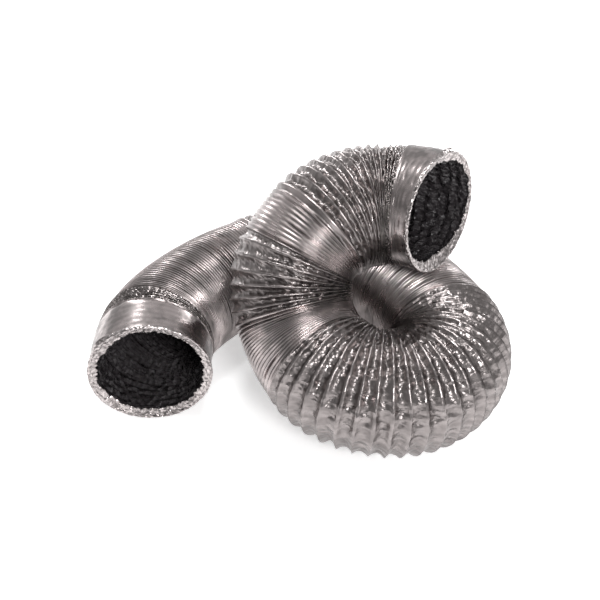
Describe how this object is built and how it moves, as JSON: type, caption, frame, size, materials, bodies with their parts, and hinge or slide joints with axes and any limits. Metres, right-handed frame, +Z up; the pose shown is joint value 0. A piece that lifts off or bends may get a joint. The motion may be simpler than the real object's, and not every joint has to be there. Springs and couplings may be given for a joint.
{
  "type": "flexible foil ventilation duct",
  "caption": "Flexible foil ventilation duct lying in a loop, with pleated bends, closed-up stacks, a black liner and an open mouth with a turned-in hem at each end.",
  "frame": {"origin": "centre of the bounding box in plan, on the floor that the duct lies on", "axes": "+Z up; +X to the right along the longest side of the loop; -Y is the side that the left mouth faces"},
  "size_m": [0.5424, 0.4536, 0.3159],
  "materials": {
    "foil_pleats": "crumpled bright foil",
    "foil_stack": "satin, fine ribs",
    "foil_cuff": "smooth satin foil",
    "foil_hem": "crumpled bright foil",
    "liner": "wrinkled glossy film",
    "wire": "bright drawn spring wire"
  },
  "bodies": {
    "lower_run": {"stack_a_foil": "foil_stack", "under_pleats_foil": "foil_pleats", "stack_b_foil": "foil_stack", "lower_run_wire": "wire", "lower_run_liner": "liner", "loop_bend_foil": "foil_pleats", "loop_bend_wire": "wire", "loop_bend_liner": "liner", "left_bend_foil": "foil_stack", "left_bend_wire": "wire", "left_bend_liner": "liner"},
    "left_end": {"front_stack_foil": "foil_stack", "front_stack_wire": "wire", "front_stack_liner": "liner", "left_neck_foil": "foil_pleats", "left_neck_wire": "wire", "left_neck_liner": "liner"},
    "left_mouth": {"left_cuff_foil": "foil_cuff", "left_cuff_wire": "wire", "left_cuff_liner": "liner", "left_hem": "foil_hem"},
    "upper_run": {"stack_d_foil": "foil_stack", "climb_pleats_foil": "foil_pleats", "stack_f_foil": "foil_stack", "upper_run_wire": "wire", "upper_run_liner": "liner", "right_bend_foil": "foil_pleats", "right_bend_wire": "wire", "right_bend_liner": "liner"},
    "right_end": {"right_pleats_foil": "foil_pleats", "right_pleats_wire": "wire", "right_pleats_liner": "liner", "right_neck_foil": "foil_pleats", "right_neck_wire": "wire", "right_neck_liner": "liner"},
    "right_mouth": {"right_cuff_foil": "foil_cuff", "right_cuff_wire": "wire", "right_cuff_liner": "liner", "right_hem": "foil_hem"}
  },
  "joints": [
    {"name": "left_bend_turn", "type": "hinge", "parent": "lower_run", "child": "left_end", "pos_m": [-0.17326, 0.00885, 0.07844], "axis": [0, 0, 1], "range_deg": [-15, 15], "deforming": ["left_bend_foil", "left_bend_wire", "left_bend_liner"]},
    {"name": "left_mouth_pull", "type": "slide", "parent": "left_end", "child": "left_mouth", "axis": [-0.1392, -0.9902, -0.0142], "range_m": [0, 0.04], "deforming": ["left_neck_foil", "left_neck_wire", "left_neck_liner"]},
    {"name": "loop_open", "type": "hinge", "parent": "lower_run", "child": "upper_run", "pos_m": [0.10194, -0.06288, 0.07827], "axis": [0, 0, 1], "range_deg": [0, 20], "deforming": ["loop_bend_foil", "loop_bend_wire", "loop_bend_liner"]},
    {"name": "right_bend_turn", "type": "hinge", "parent": "upper_run", "child": "right_end", "pos_m": [0.04714, 0.02641, 0.22567], "axis": [0, 0, 1], "range_deg": [-12, 15], "deforming": ["right_bend_foil", "right_bend_wire", "right_bend_liner"]},
    {"name": "right_mouth_pull", "type": "slide", "parent": "right_end", "child": "right_mouth", "axis": [0.9786, -0.1888, 0.0818], "range_m": [0, 0.04], "deforming": ["right_neck_foil", "right_neck_wire", "right_neck_liner"]}
  ]
}
